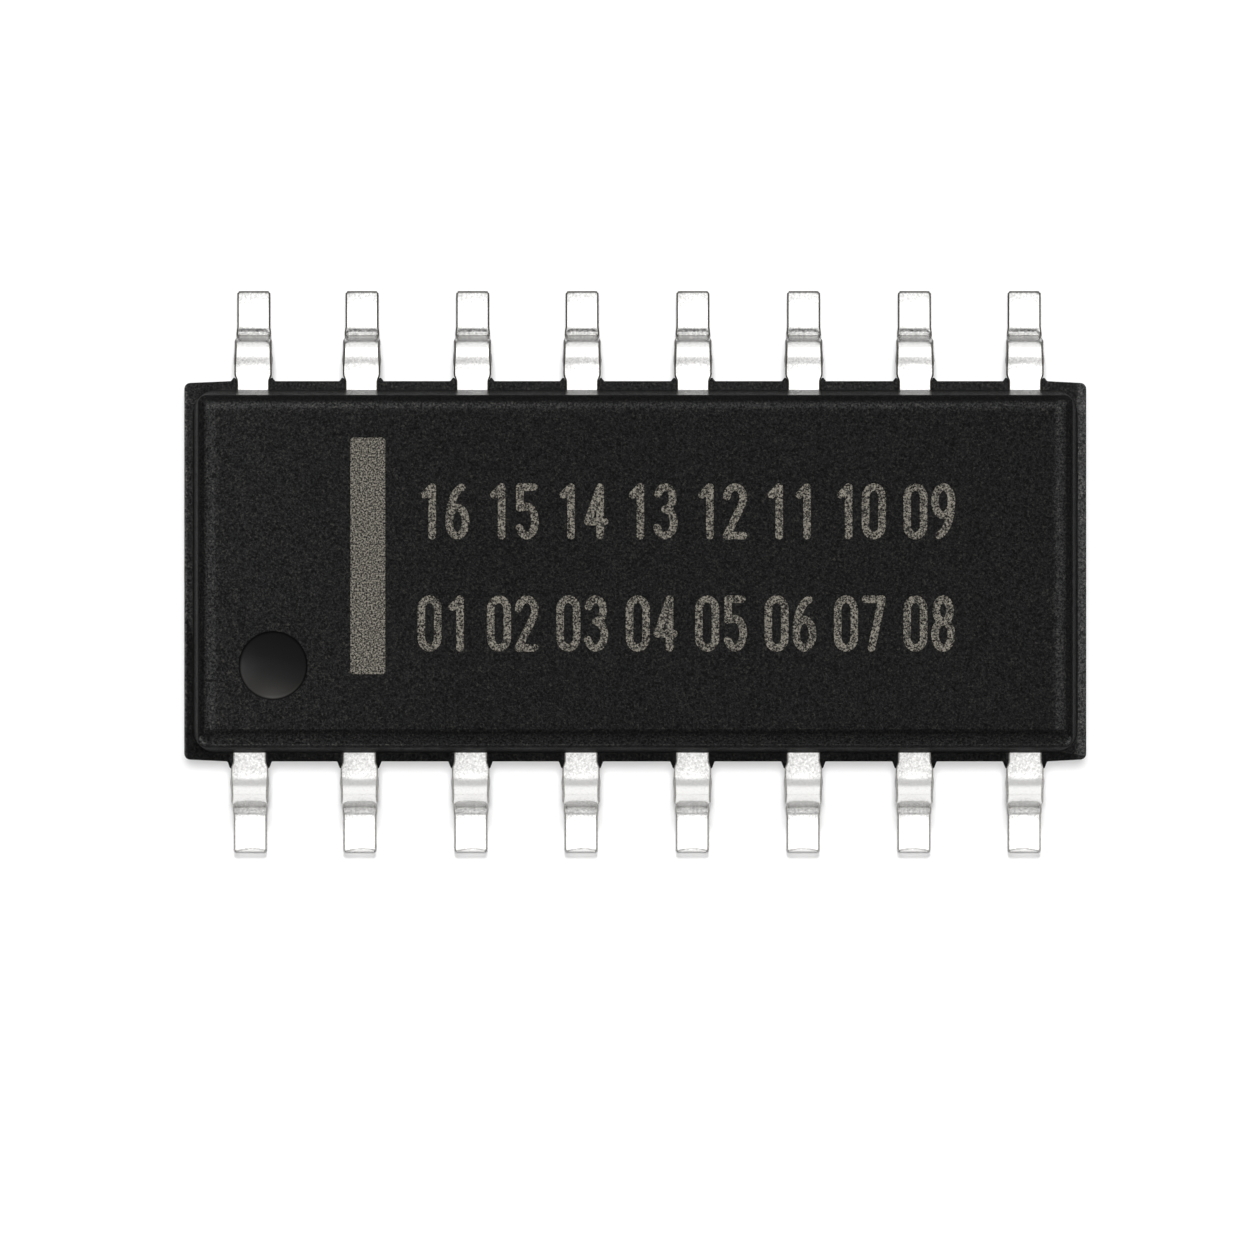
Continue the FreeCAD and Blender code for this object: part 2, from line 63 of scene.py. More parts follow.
LEADS_PER_ROW = 8
LEAD_PITCH = 1.27
LEAD_THICKNESS = 0.20
LEAD_TOP = lead_high.z
LEAD_BOTTOM = LEAD_TOP - LEAD_THICKNESS
TIP = -lead_low.y
FLAT_END = 2.35
UPPER_BEND = 0.22
LOWER_BEND = 0.205
LEG_ANGLE = math.radians(83)
EXIT_WIDTH = 0.38
SHOULDER_WIDTH = 0.43
FOOT_WIDTH = 0.38
FLARE_LENGTH = 0.08

BODY_TOP = body_high.z
BODY_BOTTOM = body_low.z
RIM_LENGTH = body_high.x - body_low.x
RIM_WIDTH = body_high.y - body_low.y
RIM_REACH = 0.10
RIM_CORNER = 0.07
HALF_LENGTH = RIM_LENGTH / 2 - RIM_REACH
HALF_WIDTH = RIM_WIDTH / 2 - RIM_REACH
MOULD_CORNER = 0.28
FACE_CORNER = 0.07

DISH_CENTRE = (-HALF_LENGTH + 0.93, -HALF_WIDTH + 1.005)
DISH_RADIUS = 0.787 / 2
DISH_DEPTH = 0.08
DISH_STEP = 0.018

BAR_CENTRE = (-HALF_LENGTH + 2.02, HALF_WIDTH - 1.914)
BAR_SIZE = (0.40, 2.72)
BAR_CORNER = 0.035
BAR_DEPTH = 0.02

EJECTOR_X = HALF_LENGTH - 1.80
EJECTOR_RADIUS = 0.45
EJECTOR_DEPTH = 0.03

# Sizes that only the scene has

CUTTER_REACH = 0.05
SMOOTH_ANGLE = 40

# A step that keeps faces of two pieces out of one plane
PLANE_STEP = 0.001


# Meshes

def make_object(name, bm, materials, smooth_angle=SMOOTH_ANGLE):
    """A mesh object in metres from a mesh in millimetres."""
    bmesh.ops.recalc_face_normals(bm, faces=bm.faces)
    for vertex in bm.verts:
        vertex.co *= MM
    mesh = bpy.data.meshes.new(name)
    bm.to_mesh(mesh)
    bm.free()
    for material in materials:
        mesh.materials.append(material)
    mesh.shade_smooth()
    mesh.set_sharp_from_angle(angle=math.radians(smooth_angle))
    made = bpy.data.objects.new(name, mesh)
    bpy.context.scene.collection.objects.link(made)
    return made


def skin(bm, rings):
    """Faces between rings of as many points each, with the ends closed."""
    loops = [[bm.verts.new(point) for point in ring] for ring in rings]
    count = len(loops[0])
    for low, high in zip(loops, loops[1:]):
        for i in range(count):
            j = (i + 1) % count
            bm.faces.new((low[i], low[j], high[j], high[i]))
    bm.faces.new(loops[0][::-1])
    bm.faces.new(loops[-1])


def apply_modifier(target, modifier):
    bpy.context.view_layer.objects.active = target
    with bpy.context.temp_override(object=target, active_object=target):
        bpy.ops.object.modifier_apply(modifier=modifier.name)


def cut_away(target, cutter):
    """Takes a closed cutter out of the target. The cut faces keep the cutter's material."""
    modifier = target.modifiers.new("cut", "BOOLEAN")
    modifier.operation = "DIFFERENCE"
    modifier.solver = "EXACT"
    modifier.material_mode = "TRANSFER"
    modifier.object = cutter
    apply_modifier(target, modifier)
    bpy.data.objects.remove(cutter)
    target.data.set_sharp_from_angle(angle=math.radians(SMOOTH_ANGLE))


# The mould halves: each side of a half has a profile, as distances outward and heights

ARC_STEPS = 8
CORNER_STEPS = 10
WALL_DRAFT = math.radians(6.5)
END_ROUNDING = (0.26, 0.14)
SIDE_ROUNDING = (0.18, 0.12)
BEVEL_DRAFT = math.radians(7)
BEVEL_WIDTH = 0.17
BEVEL_ANGLE = math.radians(42)
BEVEL_ROUNDING = 0.12
HALF_SUNK = 0.05
WALL_FACING = 0.95

# Where the straight sides get more points, as shares of their length
END_SHARES = (0.01, 0.04, 0.3, 0.7, 0.96, 0.99)
ROW_SHARES = (0.005, 0.995)


def rounded_profile(base, height, rounding):
    """A drafted wall from the rim to the flat face, with an elliptical rounding."""
    run, rise = rounding
    inset = (height - rise) * math.tan(WALL_DRAFT)
    points = [(base, 0.0), (base - 0.5 * inset, 0.5 * (height - rise))]
    start = base - inset
    for step in range(2 * ARC_STEPS + 2):
        angle = math.radians(90) * step / (2 * ARC_STEPS + 1)
        points.append((start - run * (1 - math.cos(angle)), height - rise * (1 - math.sin(angle))))
    return points


def bevelled_profile(base, height):
    """A drafted wall and a bevel, with small roundings at both of its edges."""
    draft = math.tan(BEVEL_DRAFT)
    slope = math.tan(BEVEL_ANGLE)
    edge = (base - height * draft - BEVEL_WIDTH, height)
    depth = BEVEL_WIDTH * slope / (1 + slope * draft)
    foot = (base, 0.0)
    knee = (base - (height - depth) * draft, height - depth)
    points = [foot, ((base + knee[0]) / 2, knee[1] / 2)]
    points += arc_at(foot, knee, edge, BEVEL_ROUNDING)
    points += arc_at(knee, edge, (edge[0] - 1.0, height), BEVEL_ROUNDING)
    return points


def arc_at(before, corner, after, radius):
    """Points of the arc that rounds a corner."""
    corner = Vector(corner)
    into = (Vector(before) - corner).normalized()
    out = (Vector(after) - corner).normalized()
    half = into.angle(out) / 2
    reach = radius / math.tan(half)
    middle = corner + (into + out).normalized() * radius / math.sin(half)
    start = corner + into * reach - middle
    end = corner + out * reach - middle
    points = []
    for step in range(ARC_STEPS + 1):
        spoke = start.slerp(end, step / ARC_STEPS, start).normalized() * radius
        points.append(tuple(middle + spoke))
    return points


def half_rings(east, north, west, south, corners, level, direction):
    """Rings round a mould half: one for each step of the four profiles."""
    rings = []
    for step in range(len(east)):
        radius = corners[step]
        sides = [east[step], north[step], west[step], south[step]]
        signs = [(1, 1), (-1, 1), (-1, -1), (1, -1)]
        ring = []
        for quarter in range(4):
            first = sides[quarter]
            second = sides[(quarter + 1) % 4]
            along_x, along_y = (first, second) if quarter % 2 == 0 else (second, first)
            sign_x, sign_y = signs[quarter]
            centre_x = along_x[0] - radius
            centre_y = along_y[0] - radius
            for turn in range(CORNER_STEPS + 1):
                share = turn / CORNER_STEPS
                angle = math.radians(90) * share
                to_side, to_end = math.cos(angle), math.sin(angle)
                if quarter % 2 == 1:
                    to_side, to_end = to_end, to_side
                height = first[1] * (1 - share) + second[1] * share
                ring.append((
                    sign_x * (centre_x + radius * to_side),
                    sign_y * (centre_y + radius * to_end),
                    level + direction * height,
                ))
        rings.append(with_side_points(ring))
    return rings


def with_side_points(ring):
    """The ring with more points along its straight sides.

    They keep the corners from tilting the shading of the sides, and frame the wall above a lead.
    """
    arc = CORNER_STEPS + 1
    filled = []
    for quarter in range(4):
        corner = ring[quarter * arc:(quarter + 1) * arc]
        last = Vector(corner[-1])
        following = Vector(ring[(quarter + 1) * arc % len(ring)])
        shares = END_SHARES
        if quarter % 2 == 0:
            row = 1 if quarter == 0 else -1
            edges = [lead_middle(place, row) + side * EXIT_WIDTH / 2
                     for place in range(LEADS_PER_ROW) for side in (-1, 1)]
            lead_shares = [(last.x - x) / (last.x - following.x) for x in edges]
            shares = sorted([*ROW_SHARES, *lead_shares])
        filled += corner
        filled += [tuple(last.lerp(following, share)) for share in shares]
    return filled


def mark_smooth_walls(bm):
    """The second material for the far wall above each lead, where the mould is smooth."""
    for face in bm.faces:
        face.normal_update()
        middle = face.calc_center_median()
        aside = min(abs(middle.x - lead_middle(place, 1)) for place in range(LEADS_PER_ROW))
        is_wall = abs(face.normal.y) > WALL_FACING and middle.z > LEAD_TOP
        if is_wall and middle.y > 0 and aside < EXIT_WIDTH / 2:
            face.material_index = 1


def add_half(bm, height, level, direction, bevelled):
    """One mould half, from a little inside the rim to its flat face."""
    end = rounded_profile(HALF_LENGTH, height, END_ROUNDING)
    side = rounded_profile(HALF_WIDTH, height, SIDE_ROUNDING)
    near_side = bevelled_profile(HALF_WIDTH, height) if bevelled else side
    corners = []
    for _, up in side:
        share = min(up / height, 1.0)
        corners.append(MOULD_CORNER + (FACE_CORNER - MOULD_CORNER) * share)
    rings = half_rings(end, side, end, near_side, corners, level, direction)
    sunk = [(x, y, level - direction * HALF_SUNK) for x, y, _ in rings[0]]
    skin(bm, [sunk, *rings])


# How far each lead is off its nominal place, from -X to +X
NEAR_SHIFTS = (0.003, -0.003, 0.008, 0.010, 0.024, 0.032, 0.041, 0.044)
FAR_SHIFTS = (0.043, 0.022, 0.029, 0.022, 0.030, 0.038, 0.047, 0.044)


def lead_middle(place, row):
    shifts = NEAR_SHIFTS if row < 0 else FAR_SHIFTS
    return (place - (LEADS_PER_ROW - 1) / 2) * LEAD_PITCH + shifts[place]


# The rim, with a notch for each lead and a small point of resin on both sides of it

HORN_BASE = 0.065
HORN_OUT = 0.010
LOWER_HORN = 0.080
UPPER_HORN = 0.038
RIM_END_RECESS = 0.02
RIM_SUNK = 0.004
RIM_EDGE = 0.012
NOTCH_DEPTH = 0.14
RIM_CORNER_STEPS = 5


def rim_side(row, horn):
    """The outline of one long side from -X to +X, as X and distance outward."""
    reach = RIM_WIDTH / 2
    half = EXIT_WIDTH / 2
    half_shoulder = SHOULDER_WIDTH / 2
    points = []
    for place in range(LEADS_PER_ROW):
        x = lead_middle(place, row)
        left = [
            (x - half - HORN_BASE, reach),
            (x - half_shoulder - HORN_OUT, reach + horn),
            (x - half_shoulder + HORN_OUT, reach + horn),
            (x - half + PLANE_STEP, reach),
            (x - half + PLANE_STEP, reach - NOTCH_DEPTH),
        ]
        right = [(2 * x - px, out) for px, out in left[::-1]]
        points += left + right
    return points


def rim_outline():
    """The whole outline, anticlockwise from the lower left."""
    points = []
    points += corner_arc(-1, -1)
    points += [(x, -out) for x, out in rim_side(-1, LOWER_HORN)]
    points += corner_arc(1, -1)
    points += corner_arc(1, 1)
    points += [(x, out) for x, out in rim_side(1, UPPER_HORN)[::-1]]
    points += corner_arc(-1, 1)
    return points


def corner_arc(sign_x, sign_y):
    """A rounded corner of the rim, anticlockwise. The tie bars' ends stand just clear of it."""
    centre_x = sign_x * (RIM_LENGTH / 2 - PLANE_STEP - RIM_CORNER)
    centre_y = sign_y * (RIM_WIDTH / 2 - RIM_END_RECESS - RIM_CORNER)
    first = {(-1, -1): 180, (1, -1): 270, (1, 1): 0, (-1, 1): 90}[(sign_x, sign_y)]
    arc = []
    for step in range(RIM_CORNER_STEPS + 1):
        angle = math.radians(first + 90 * step / RIM_CORNER_STEPS)
        x = centre_x + RIM_CORNER * math.cos(angle)
        y = centre_y + RIM_CORNER * math.sin(angle)
        arc.append((x, y))
    return arc


def make_rim(material):
    bm = bmesh.new()
    low = LEAD_BOTTOM + RIM_SUNK
    under = bm.faces.new([bm.verts.new((x, y, low)) for x, y in rim_outline()])
    raised = bmesh.ops.extrude_face_region(bm, geom=[under])["geom"]
    lift = Vector((0, 0, LEAD_THICKNESS - 2 * RIM_SUNK))
    corners = [part for part in raised if isinstance(part, bmesh.types.BMVert)]
    bmesh.ops.translate(bm, verts=corners, vec=lift)
    rim = make_object("package_rim", bm, [material])
    bevel = rim.modifiers.new("edge", "BEVEL")
    bevel.width = RIM_EDGE * MM
    bevel.segments = 2
    bevel.limit_method = "ANGLE"
    bevel.angle_limit = math.radians(60)
    apply_modifier(rim, bevel)
    rim.data.set_sharp_from_angle(angle=math.radians(SMOOTH_ANGLE))
    return rim


# Cutters for the dish, the bar and the ejector marks

BOWL_RADIUS = DISH_RADIUS - 0.012
LIP_RADIUS = DISH_RADIUS + 0.004
BOWL_STEPS = 14
RECTANGLE_CORNER_STEPS = 4
DISH_POINTS = 96
EJECTOR_POINTS = 64
EJECTOR_EDGE = 0.02


def disc_ring(centre, radius, z, count=DISH_POINTS):
    turn = 2 * math.pi / count
    return [(centre[0] + radius * math.cos(i * turn), centre[1] + radius * math.sin(i * turn), z)
            for i in range(count)]


def make_dish_cutter(material):
    """A shallow bowl under a short steep step."""
    bm = bmesh.new()
    rings = [
        disc_ring(DISH_CENTRE, LIP_RADIUS, BODY_TOP + CUTTER_REACH),
        disc_ring(DISH_CENTRE, LIP_RADIUS, BODY_TOP),
        disc_ring(DISH_CENTRE, BOWL_RADIUS, BODY_TOP - DISH_STEP),
    ]
    for step in range(1, BOWL_STEPS):
        radius = BOWL_RADIUS * (1 - step / BOWL_STEPS)
        depth = DISH_STEP + (DISH_DEPTH - DISH_STEP) * (1 - (radius / BOWL_RADIUS) ** 2)
        rings.append(disc_ring(DISH_CENTRE, radius, BODY_TOP - depth))
    skin(bm, rings)
    return make_object("dish_cutter", bm, [material])


def rounded_rectangle(centre, size, radius, z):
    points = []
    for sign_x, sign_y, first in ((1, 1, 0), (-1, 1, 90), (-1, -1, 180), (1, -1, 270)):
        for step in range(RECTANGLE_CORNER_STEPS + 1):
            angle = math.radians(first + 90 * step / RECTANGLE_CORNER_STEPS)
            x = centre[0] + sign_x * (size[0] / 2 - radius) + radius * math.cos(angle)
            y = centre[1] + sign_y * (size[1] / 2 - radius) + radius * math.sin(angle)
            points.append((x, y, z))
    return points


def make_bar_cutter(material):
    bm = bmesh.new()
    high = rounded_rectangle(BAR_CENTRE, BAR_SIZE, BAR_CORNER, BODY_TOP + CUTTER_REACH)
    low = rounded_rectangle(BAR_CENTRE, BAR_SIZE, BAR_CORNER, BODY_TOP - BAR_DEPTH)
    skin(bm, [high, low])
    return make_object("bar_cutter", bm, [material])


def make_ejector_cutter(x, material):
    bm = bmesh.new()
    steps = [
        (EJECTOR_RADIUS, -CUTTER_REACH),
        (EJECTOR_RADIUS, 0.7 * EJECTOR_DEPTH),
        (EJECTOR_RADIUS - EJECTOR_EDGE, EJECTOR_DEPTH),
    ]
    rings = [disc_ring((x, 0.0), radius, BODY_BOTTOM + up, EJECTOR_POINTS) for radius, up in steps]
    skin(bm, rings)
    return make_object("ejector_cutter", bm, [material])


# Pin numbers. The strokes of a digit are paths in a box one wide and one high.

def bow(centre, radii, first, last, steps=12):
    """Points of an elliptical arc, with its angles in degrees."""
    angles = [math.radians(first + (last - first) * step / steps) for step in range(steps + 1)]
    return [(centre[0] + radii[0] * math.cos(angle), centre[1] + radii[1] * math.sin(angle))
            for angle in angles]


def oval(centre, radii):
    """Points of a whole ellipse."""
    return bow(centre, radii, 0, 360, 28)[:-1]


def turned(path):
    """The path turned upside down, as a six becomes a nine."""
    return [(1 - x, 1 - y) for x, y in path]


STADIUM = bow((0.5, 0.79), (0.5, 0.21), 0, 180) + bow((0.5, 0.21), (0.5, 0.21), 180, 360)
LOOP = oval((0.5, 0.29), (0.5, 0.29))
NECK = bow((0.92, 0.29), (0.92, 0.71), 180, 100)
CLOSED_STROKES = {
    "0": [STADIUM],
    "6": [LOOP],
    "8": [oval((0.5, 0.77), (0.42, 0.23)), oval((0.5, 0.27), (0.5, 0.27))],
    "9": [turned(LOOP)],
}
OPEN_STROKES = {
    "1": [[(0.20, 0.84), (0.66, 1.0)], [(0.66, 1.0), (0.66, 0.0)]],
    "2": [bow((0.5, 0.77), (0.5, 0.23), 172, -28) + [(0.0, 0.0)], [(0.0, 0.0), (1.0, 0.0)]],
    "3": [bow((0.47, 0.77), (0.46, 0.23), 160, -90), bow((0.47, 0.27), (0.53, 0.27), 90, -158)],
    "4": [[(0.74, 0.0), (0.74, 1.0)], [(0.74, 1.0), (0.0, 0.29)], [(0.0, 0.29), (1.0, 0.29)]],
    "5": [[(0.92, 1.0), (0.08, 1.0)], [(0.08, 1.0), (0.08, 0.57)],
          [(0.08, 0.57)] + bow((0.5, 0.30), (0.5, 0.30), 90, -152)],
    "6": [NECK],
    "7": [[(0.0, 1.0), (1.0, 1.0)], [(1.0, 1.0), (0.36, 0.0)]],
    "9": [turned(NECK)],
}

DIGIT_SIZE = (0.19, 0.56)
STROKE = 0.086
DIGIT_PITCH = 0.32
NUMBER_PITCH = 0.798
NUMBERS_LEFT = -2.46
FAR_ROW_Y = 0.688
NEAR_ROW_Y = -0.602
MARK_DEPTH = 0.012
MARK_REACH = 0.03
STROKE_END_STEPS = 8
SHORTEST_STEP = 0.004
SHARPEST_CORNER = 0.4


def across(path, index, closed):
    """The direction to the left of a path at a point, with the length that a corner needs."""
    count = len(path)
    before = path[(index - 1) % count] if closed or index else path[index]
    after = path[(index + 1) % count] if closed or index < count - 1 else path[index]
    here = Vector(path[index])
    into = (here - Vector(before)).normalized()
    out = (Vector(after) - here).normalized()
    along = (into + out).normalized()
    reach = 1 / max(along.dot(out if out.length else into), SHARPEST_CORNER)
    return Vector((-along.y, along.x)) * reach


def add_prism(bm, outline, low, high):
    """A closed prism from a plan outline."""
    bottom = [bm.verts.new((x, y, low)) for x, y in outline]
    top = [bm.verts.new((x, y, high)) for x, y in outline]
    count = len(outline)
    for i in range(count):
        j = (i + 1) % count
        bm.faces.new((bottom[i], bottom[j], top[j], top[i]))
    bm.faces.new(bottom[::-1])
    bm.faces.new(top)


def add_open_stroke(bm, path, low, high):
    """A stroke with round ends."""
    half = STROKE / 2
    left = [Vector(p) + across(path, i, False) * half for i, p in enumerate(path)]
    right = [Vector(p) - across(path, i, False) * half for i, p in enumerate(path)]
    outline = list(left)
    for end, before, side in ((path[-1], path[-2], right[::-1]), (path[0], path[1], [])):
        facing = (Vector(end) - Vector(before)).normalized()
        start = math.atan2(facing.y, facing.x) + math.radians(90)
        for step in range(1, STROKE_END_STEPS):
            angle = start - math.pi * step / STROKE_END_STEPS
            outline.append(Vector(end) + half * Vector((math.cos(angle), math.sin(angle))))
        outline += side
    add_prism(bm, [tuple(point) for point in outline], low, high)


def add_closed_stroke(bm, path, low, high):
    """A stroke that closes on itself."""
    half = STROKE / 2
    rings = []
    for i, point in enumerate(path):
        side = across(path, i, True) * half
        left = Vector(point) + side
        right = Vector(point) - side
        rings.append([(*left, high), (*right, high), (*right, low), (*left, low)])
    loops = [[bm.verts.new(corner) for corner in ring] for ring in rings]
    for i, ring in enumerate(loops):
        after = loops[(i + 1) % len(loops)]
        for j in range(4):
            k = (j + 1) % 4
            bm.faces.new((ring[j], ring[k], after[k], after[j]))


def thinned(path):
    """The path without points that fall on each other."""
    kept = [path[0]]
    for point in path[1:]:
        if (Vector(point) - Vector(kept[-1])).length > SHORTEST_STEP:
            kept.append(point)
    return kept


def number_cutters(text, x, y, material):
    """Cutters for one number, whose left edge and middle height are given."""
    low = BODY_TOP - MARK_DEPTH
    high = BODY_TOP + MARK_REACH
    width, height = DIGIT_SIZE
    kinds = ((add_open_stroke, OPEN_STROKES), (add_closed_stroke, CLOSED_STROKES))
    cutters = []
    for place, digit in enumerate(text):
        corner = Vector((x + place * DIGIT_PITCH, y - height / 2))
        for add_stroke, strokes in kinds:
            for stroke in strokes.get(digit, []):
                path = [tuple(corner + Vector((px * width, py * height))) for px, py in stroke]
                bm = bmesh.new()
                add_stroke(bm, thinned(path), low, high)
                cutters.append(make_object("stroke_cutter", bm, [material]))
    return cutters


def cut_numbers(top, material):
    """Two rows of pin numbers, in the order of the leads."""
    for place in range(LEADS_PER_ROW):
        x = NUMBERS_LEFT + place * NUMBER_PITCH
        far = f"{2 * LEADS_PER_ROW - place:02d}"
        near = f"{place + 1:02d}"
        cutters = number_cutters(far, x, FAR_ROW_Y, material)
        cutters += number_cutters(near, x, NEAR_ROW_Y, material)
        for cutter in cutters:
            cut_away(top, cutter)


def make_moulding(compound, rim_compound, smooth_compound, polished, mark):
    """The top, the base and the rim of the moulding."""
    upper = bmesh.new()
    add_half(upper, BODY_TOP - LEAD_TOP, LEAD_TOP, 1, True)
    mark_smooth_walls(upper)
    top = make_object("package_top", upper, [compound, smooth_compound])
    cut_away(top, make_dish_cutter(polished))
    cut_away(top, make_bar_cutter(mark))
    cut_numbers(top, mark)
    lower = bmesh.new()
    add_half(lower, LEAD_BOTTOM - BODY_BOTTOM, LEAD_BOTTOM, -1, False)
    base = make_object("package_base", lower, [compound])
    for x in (-EJECTOR_X, EJECTOR_X):
        cut_away(base, make_ejector_cutter(x, polished))
    rim = make_rim(rim_compound)
    for piece in (top, base, rim):
        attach(piece, "root")
        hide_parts("package_body")
    return top, base, rim


# Leads

FLAT_STATIONS = (1.95, 2.05, 2.12, 2.17, 2.19, 2.21, 2.23, 2.25, 2.27, 2.29)
BEND_STEPS = 16
LEG_SHARES = (0.2, 0.4, 0.6, 0.8)
FOOT_SHARES = (0.25, 0.5, 0.7, 0.85)
TIP_STEPS = 6
TOP_EDGE = 0.018
BOTTOM_EDGE = 0.010
EDGE_STEPS = 4
BEND_NECK = 0.010
FLARE_START = RIM_WIDTH / 2 - 0.005
FLARE_END = RIM_WIDTH / 2 + FLARE_LENGTH
SIDE_FACING = 0.15
LEAD_SMOOTH_ANGLE = 50
TIP_CORNER = 0.012
TIP_EDGE = 0.016


def smooth(value, low, high):
    """A soft rise from 0 at the low value to 1 at the high one."""
    share = min(max((value - low) / (high - low), 0.0), 1.0)
    return share * share * (3 - 2 * share)


def lead_path():
    """Stations along the middle of a lead: distance out, height, direction angle, bend share."""
    middle = LEAD_TOP - LEAD_THICKNESS / 2
    foot_middle = LEAD_THICKNESS / 2
    rise = middle - foot_middle - (UPPER_BEND + LOWER_BEND) * (1 - math.cos(LEG_ANGLE))
    leg = rise / math.sin(LEG_ANGLE)
    stations = [(out, middle, 0.0, 0.0) for out in FLAT_STATIONS]
    for step in range(BEND_STEPS + 1):
        angle = LEG_ANGLE * step / BEND_STEPS
        bend = math.sin(math.pi * step / BEND_STEPS)
        out = FLAT_END + UPPER_BEND * math.sin(angle)
        stations.append((out, middle - UPPER_BEND * (1 - math.cos(angle)), angle, bend))
    leg_out, leg_z = stations[-1][:2]
    for share in LEG_SHARES:
        reach = leg * share
        out = leg_out + reach * math.cos(LEG_ANGLE)
        stations.append((out, leg_z - reach * math.sin(LEG_ANGLE), LEG_ANGLE, 0.0))
    foot_out = leg_out + leg * math.cos(LEG_ANGLE) + LOWER_BEND * math.sin(LEG_ANGLE)
    for step in range(BEND_STEPS + 1):
        angle = LEG_ANGLE * (1 - step / BEND_STEPS)
        bend = -math.sin(math.pi * step / BEND_STEPS)
        out = foot_out - LOWER_BEND * math.sin(angle)
        stations.append((out, foot_middle + LOWER_BEND * (1 - math.cos(angle)), angle, bend))
    corner_start = TIP - TIP_EDGE - TIP_CORNER
    outs = [foot_out + (corner_start - foot_out) * share for share in FOOT_SHARES]
    for step in range(TIP_STEPS + 1):
        outs.append(corner_start + TIP_CORNER * math.sin(math.radians(90) * step / TIP_STEPS))
    outs.append(TIP)
    stations += [(out, foot_middle, 0.0, 0.0) for out in outs]
    return stations


def lead_half_width(out, narrowing):
    """Half the width of a lead, from its flare at the rim to the corners of its tip."""
    flare = smooth(out, FLARE_START, FLARE_END)
    width = EXIT_WIDTH + (SHOULDER_WIDTH - EXIT_WIDTH) * flare
    width += (FOOT_WIDTH - SHOULDER_WIDTH) * smooth(narrowing, 0.0, 1.0)
    corner = min(max(0.0, out - (TIP - TIP_EDGE - TIP_CORNER)) / TIP_CORNER, 1.0)
    return width / 2 - TIP_CORNER * (1 - math.sqrt(1 - corner ** 2))


def lead_section(half_width, bend, shrink):
    """A section across a lead: X and height over its middle, with rolled upper edges."""
    half = LEAD_THICKNESS / 2 - shrink
    neck = BEND_NECK * bend
    points = []
    quarters = ((1, 1, 0), (-1, 1, 90), (-1, -1, 180), (1, -1, 270))
    for sign_x, sign_z, first in quarters:
        radius = TOP_EDGE if sign_z > 0 else BOTTOM_EDGE
        for step in range(EDGE_STEPS + 1):
            angle = math.radians(first + 90 * step / EDGE_STEPS)
            side = half_width - neck * sign_z
            x = sign_x * (side - radius) + radius * math.cos(angle)
            z = sign_z * (half - radius) + radius * math.sin(angle)
            points.append((x, z))
    return points


def make_lead(pin, tin, sheared_and_shaded):
    """One lead: its bright strip, and the sheared edges at its sides and at a far lead's tip. The
    far tip's dark colour is painted shade; a near lead's tip keeps its tin.
    """
    row = -1 if pin <= LEADS_PER_ROW else 1
    place = pin - 1 if row < 0 else 2 * LEADS_PER_ROW - pin
    x_middle = lead_middle(place, row)
    stations = lead_path()
    leg_start = len(FLAT_STATIONS) + BEND_STEPS
    rings = []
    for index, (out, z, angle, bend) in enumerate(stations):
        half_width = lead_half_width(out, (index - leg_start) / (len(LEG_SHARES) + 1))
        ring = []
        shrink = TIP_EDGE if index == len(stations) - 1 else 0.0
        for x, up in lead_section(half_width - shrink / 2, bend, shrink):
            distance = out + up * math.sin(angle)
            height = z + up * math.cos(angle)
            ring.append((x_middle - row * x, row * distance, height))
        rings.append(ring)
    bm = bmesh.new()
    skin(bm, rings)
    bm.normal_update()
    # Painted shade: a far lead's tip takes the dark edge colour
    for face in bm.faces:
        at_tip = face.calc_center_median().y * row > TIP - TIP_EDGE
        if abs(face.normal.x) > SIDE_FACING or (row > 0 and at_tip):
            face.material_index = 1
    lead = make_object(f"lead_strip_{pin}", bm, [tin, sheared_and_shaded], LEAD_SMOOTH_ANGLE)
    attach(lead, "root")
    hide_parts(f"lead_{pin}")
    return lead


# Materials

def new_material(name, colour, roughness, metallic=0.0, specular=0.5):
    material = bpy.data.materials.new(name)
    material.use_nodes = True
    shader = material.node_tree.nodes["Principled BSDF"]
    shader.inputs["Base Color"].default_value = (*colour, 1.0)
    shader.inputs["Roughness"].default_value = roughness
    shader.inputs["Metallic"].default_value = metallic
    shader.inputs["Specular IOR Level"].default_value = specular
    return material, material.node_tree, shader


def noise(tree, grain, detail=2.0, roughness=0.5, distortion=0.0):
    """A noise whose grain is about so many millimetres across."""
    place = tree.nodes.new("ShaderNodeTexCoord")
    mapping = tree.nodes.new("ShaderNodeMapping")
    mapping.inputs["Scale"].default_value = [1 / (grain * MM)] * 3
    texture = tree.nodes.new("ShaderNodeTexNoise")
    texture.inputs["Scale"].default_value = 1.0
    texture.inputs["Detail"].default_value = detail
    texture.inputs["Roughness"].default_value = roughness
    texture.inputs["Distortion"].default_value = distortion
    tree.links.new(place.outputs["Object"], mapping.inputs["Vector"])
    tree.links.new(mapping.outputs["Vector"], texture.inputs["Vector"])
    return texture.outputs["Fac"]


def ramp(tree, source, stops):
    """A colour or grey ramp: stops are pairs of position and colour."""
    node = tree.nodes.new("ShaderNodeValToRGB")
    elements = node.color_ramp.elements
    for index, (place, colour) in enumerate(stops):
        element = elements[index] if index < 2 else elements.new(place)
        element.position = place
        if isinstance(colour, (int, float)):
            colour = (colour, colour, colour)
        element.color = (*colour, 1.0)
    tree.links.new(source, node.inputs["Fac"])
    return node.outputs["Color"]


def calculate(tree, operation, first, second=0.0):
    """A maths node of two values or sockets."""
    node = tree.nodes.new("ShaderNodeMath")
    node.operation = operation
    for value, socket in zip((first, second), node.inputs):
        if isinstance(value, (int, float)):
            socket.default_value = value
        else:
            tree.links.new(value, socket)
    return node.outputs[0]


